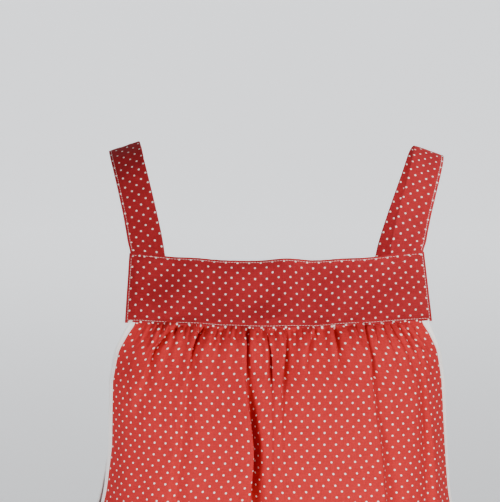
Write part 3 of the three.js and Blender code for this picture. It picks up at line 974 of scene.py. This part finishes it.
def panel_downs(half, armhole_rows, skirt_rows):
    inside = [-panel_tuck, -panel_tuck / 2, -1.0]
    angles = np.linspace(0, math.pi / 2, armhole_rows + 1)
    armhole = [armhole_down(half, angle, edge_in_binding) for angle in angles]
    hem_top = panel_length(half) - hem_height
    skirt = list(np.linspace(armhole[-1], hem_top - 1.5, skirt_rows + 1))[1:]
    hem = [hem_top, hem_top + 1.5] + list(np.linspace(hem_top + 1.5, panel_length(half), 5))[1:]
    return np.array(inside + armhole + skirt + hem)


def make_panel(name, half, armhole_rows, skirt_rows, columns, node):
    downs = panel_downs(half, armhole_rows, skirt_rows)
    rows, cloth_lengths = [], []
    for down in downs:
        side = outline(half, down)[2][-1]
        edge = side - armhole_edge(half, down, 0)
        last = side - armhole_edge(half, down, edge_in_binding)
        if down <= 0:
            last = edge - edge_in_binding
        fine = np.linspace(-last, last, 2401)
        folded = folded_row(half, fine, max(down, gather_start), edge)
        points = folded_row(half, fine, down, edge)
        length = line_lengths(folded)
        even = np.linspace(0, length[-1], columns + 1)
        rows.append(read_along(even, length, points))
        cloth_lengths.append(length[-1])
    middle = np.array(rows)
    cloth_lengths = np.array(cloth_lengths)
    # The cloth keeps one width while its gathers open out, and widens only where the armholes are cut.
    gathered = downs < gathers_open
    gathered_width = cloth_lengths[gathered].mean()
    cloth_lengths = np.where(gathered, gathered_width, np.maximum(cloth_lengths, gathered_width))
    v = downs - downs[0] - panel_tuck
    u = cloth_lengths[:, None] * (np.linspace(0, 1, columns + 1) - 0.5)[None, :]
    normals = grid_normals(middle, len(downs) // 2, columns // 2, (0, half["facing"], 0))
    hem_top = panel_length(half) - hem_height
    wall = cloth_wall + (hem_wall - cloth_wall) * smooth((downs - hem_top) / 1.5)[:, None]
    end = (panel_length(half) - downs)[:, None]
    wall = wall - stitch_dent(end, hem_height - 3, 0.4)
    two_faces = [pin_dot_cotton, cotton_wrong_side]
    piece = cloth_piece(name, middle, normals, wall, (u, v[:, None]), two_faces)
    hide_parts(node)
    surface = middle + normals * wall[..., None] / 2
    stitched_row = len(downs) - 4
    hem_line = (surface[stitched_row], normals[stitched_row])
    thread = stitch_line(name + "_hem_stitching", [hem_line])
    width = round(float(cloth_lengths[-1]) / 1000, 3)
    length = round(float(panel_length(half) + panel_tuck) / 1000, 3)
    area = float(np.sum((cloth_lengths[1:] + cloth_lengths[:-1]) / 2 * np.diff(downs))) / 1e6
    area = round(min(area, width * length), 3)


make_panel("chest_panel_gathered", chest, 58, 36, 440, "panel_front")
make_panel("back_panel_gathered", back, 44, 34, 340, "panel_back")

# Armhole bindings
#
# White cotton bias tape, folded over each armhole's raw edge from the chest band, under the arm, to the
# back band. It shows 7 mm wide and is stitched close to its inner edge, where it is a little flatter.

# What of the tape doesn't show is turned under.
# Its stitching lies this far from its inner edge.
tape_stitch_inset = 1.5
binding_wall = 2.1
binding_rows = 70
binding_columns = 14
# Plain cotton tape is matt, and its threads run slantwise because it is cut on the bias.
tape_white = "#FCFAFA"

bias_tape, tape_inputs = new_material(
    "white_cotton_bias_tape_folded",
    Roughness=0.82,
    IOR=1.46,
    Specular_IOR_Level=0.3,
    Sheen_Weight=0.15,
    Sheen_Roughness=0.5,
)
tape_cloth = add_node(bias_tape, "UVMap", uv_map="flat_cloth")
on_the_bias = add_node(bias_tape, "Mapping", {"Vector": tape_cloth, "Rotation": (0, 0, math.radians(45))})
tape_weave = weave_height(bias_tape, on_the_bias)
# Painted shade: the tape's white is darkened a little where its weave dips, in the hollows between threads.
tape_weave_shade = add_node(bias_tape, "Math", [tape_weave, 0.03, 0.97], operation="MULTIPLY_ADD")
tape_weave_shaded = {0: 1.0, 6: linear(tape_white), 7: tape_weave_shade}
tape_colour = add_node(bias_tape, "Mix", tape_weave_shaded, 2, data_type="RGBA", blend_type="MULTIPLY")
connect(bias_tape, tape_colour, tape_inputs["Base Color"])
tape_bump = add_node(bias_tape, "Bump", {"Height": tape_weave, "Strength": 0.3, "Distance": 0.0001})
connect(bias_tape, tape_bump, tape_inputs["Normal"])


def binding_row(half, side, angle, shares):
    """Points across the binding at one place along the armhole."""
    found = []
    for share in shares:
        margin = share * binding_width
        if angle <= 0:
            across = side * (1 - (margin + band_overhang) / (yoke_bottom_width / 2))
            low = yoke_point(half, across, 1.0)
            slope = unit(low - yoke_point(half, across, 0.0))
            found.append(low + slope * angle)
            continue
        down = armhole_down(half, angle, margin)
        length = outline(half, down)[2][-1] - armhole_edge(half, down, margin)
        point, _ = drape(half, np.array([side * length]), down)
        found.append(point[0])
    return found


def make_binding(name, side, seed, node):
    shares = edge_spaced(binding_columns, 0.75)
    angles = np.linspace(0.03, math.pi / 2, binding_rows)
    rows = [binding_row(chest, side, drop, shares) for drop in (-3.0, -1.0)]
    rows += [binding_row(chest, side, angle, shares) for angle in angles]
    rows += [binding_row(back, side, angle, shares) for angle in angles[-2::-1]]
    rows += [binding_row(back, side, drop, shares) for drop in (-1.0, -3.0)]
    middle = np.array(rows)
    normals = grid_normals(middle, 0, 0, (0, -1, 0))
    centre = middle[:, binding_columns // 2]
    v = line_lengths(centre)[:, None]
    u = shares[None, :] * binding_width
    wall = rounded_edge(u, binding_wall, 1.2) * smooth((binding_width - u) / 0.8 + 0.45)
    wall = wall - stitch_dent(u, binding_width - tape_stitch_inset, 0.5, 0.9)
    ends = smooth(np.minimum(v, v[-1] - v) / 3)
    wall = 0.8 + (wall - 0.8) * ends
    middle = middle + normals * (0.16 * ripple(u, v, seed, 13))[..., None]
    piece = cloth_piece(name, middle, normals, wall, (u, v), [bias_tape])
    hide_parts(node)
    c = int(np.argmin(np.abs(u[0] - (binding_width - tape_stitch_inset))))
    line = (middle + normals * wall[..., None] / 2)[3:-3, c]
    thread = stitch_line(name + "_stitching", [(line, normals[3:-3, c])])


make_binding("armhole_binding_right", -1, 151, "binding_right")
make_binding("armhole_binding_left", 1, 171, "binding_left")

# Floor, light and camera
#
# A plain floor in pale matt paint that sweeps up far away, a soft lamp on each side before the apron, a
# narrow one at the strap on the right, one over the far sweep, and the camera at the photograph's angle: at
# the band's height, two metres away and a little above.

floor_drop = 0.93
floor_radius = 9.0
sweep_radius = 2.5
sweep_top = 1.5
floor_paint = "#E9EAEC"
floor_glow = 0.55
sky_tint = (0.93, 0.96, 1.0, 1.0)
sky_strength = 0.06

bpy.ops.mesh.primitive_circle_add(
    vertices=96,
    radius=floor_radius,
    fill_type="NGON",
    location=(0, 0, -floor_drop),
)
floor = bpy.context.object
floor.name = "pale_floor"
bpy.ops.object.mode_set(mode="EDIT")
bpy.ops.mesh.select_all(action="SELECT")
bpy.ops.mesh.region_to_loop()
sweep_steps = 12
turned = [math.pi / 2 * i / sweep_steps for i in range(sweep_steps + 1)]
for before, after in zip(turned, turned[1:]):
    rise = sweep_radius * (math.cos(before) - math.cos(after))
    old, new = (floor_radius + sweep_radius * math.sin(t) for t in (before, after))
    bpy.ops.mesh.extrude_edges_move(TRANSFORM_OT_translate={"value": (0, 0, rise)})
    bpy.ops.transform.resize(value=(new / old, new / old, 1), center_override=(0, 0, 0))
bpy.ops.mesh.extrude_edges_move(TRANSFORM_OT_translate={"value": (0, 0, sweep_top)})
bpy.ops.mesh.select_all(action="SELECT")
bpy.ops.mesh.normals_make_consistent(inside=True)
bpy.ops.object.mode_set(mode="OBJECT")
bpy.ops.object.transform_apply(location=True, rotation=False, scale=False)
bpy.ops.object.shade_smooth()
floor.select_set(False)
floor_material, _ = new_material(
    "matt_emulsion_rolled_lit_evenly",
    Base_Color=linear(floor_paint),
    Roughness=0.9,
    Emission_Color=linear(floor_paint),
    Emission_Strength=floor_glow,
)
floor.data.materials.append(floor_material)

world = bpy.data.worlds.new("soft_daylight")
bpy.context.scene.world = world
world.use_nodes = True
sky = world.node_tree.nodes["Background"].inputs
sky["Color"].default_value = sky_tint
sky["Strength"].default_value = sky_strength


def soft_lamp(name, place, target, size, power, colour, spread=180):
    lamp = bpy.data.lights.new(name, "AREA")
    lamp.shape = "RECTANGLE"
    lamp.size, lamp.size_y = size
    lamp.energy = power
    lamp.color = linear(colour)[:3]
    lamp.spread = math.radians(spread)
    holder = bpy.data.objects.new(name, lamp)
    bpy.context.collection.objects.link(holder)
    holder.location = place
    toward = Vector(target) - Vector(place)
    holder.rotation_euler = toward.to_track_quat("-Z", "Y").to_euler()


soft_lamp("window_lamp", (0.95, -1.75, -0.55), (0, -0.2, -0.9), (0.5, 0.3), 9.2, "#FFF8F0", 80)
soft_lamp("fill_lamp", (-1.2, -1.7, -0.55), (0, -0.2, -0.95), (0.6, 0.3), 7.3, "#FFFBF8", 80)
soft_lamp("shoulder_lamp", (0.85, -0.5, 0.55), (0.17, -0.08, 0.01), (0.2, 0.2), 0.3, "#FFFAF6", 22)
soft_lamp("backdrop_lamp", (0, 7.0, 5.0), (0, 8.5, -0.9), (9.0, 6.0), 520.0, "#FAFCFF")

camera_turn = math.radians(-2.0)
camera_rise = math.radians(6.0)
camera_distance = 2.0
camera_target = Vector((-0.0287, -0.1267, -0.0942))
frame_long_side = 502
pixels_per_metre = 1000
sensor_width = 36.0

camera_data = bpy.data.cameras.new("camera")
camera = bpy.data.objects.new("camera", camera_data)
bpy.context.collection.objects.link(camera)
level = math.cos(camera_rise)
toward_camera = (math.sin(camera_turn) * level, -math.cos(camera_turn) * level, math.sin(camera_rise))
toward_camera = Vector(toward_camera)
camera.location = camera_target + toward_camera * camera_distance
camera.rotation_euler = (-toward_camera).to_track_quat("-Z", "Y").to_euler()
camera_data.sensor_width = sensor_width
camera_data.lens = sensor_width * camera_distance * pixels_per_metre / frame_long_side
bpy.context.scene.camera = camera

bpy.context.view_layer.update()
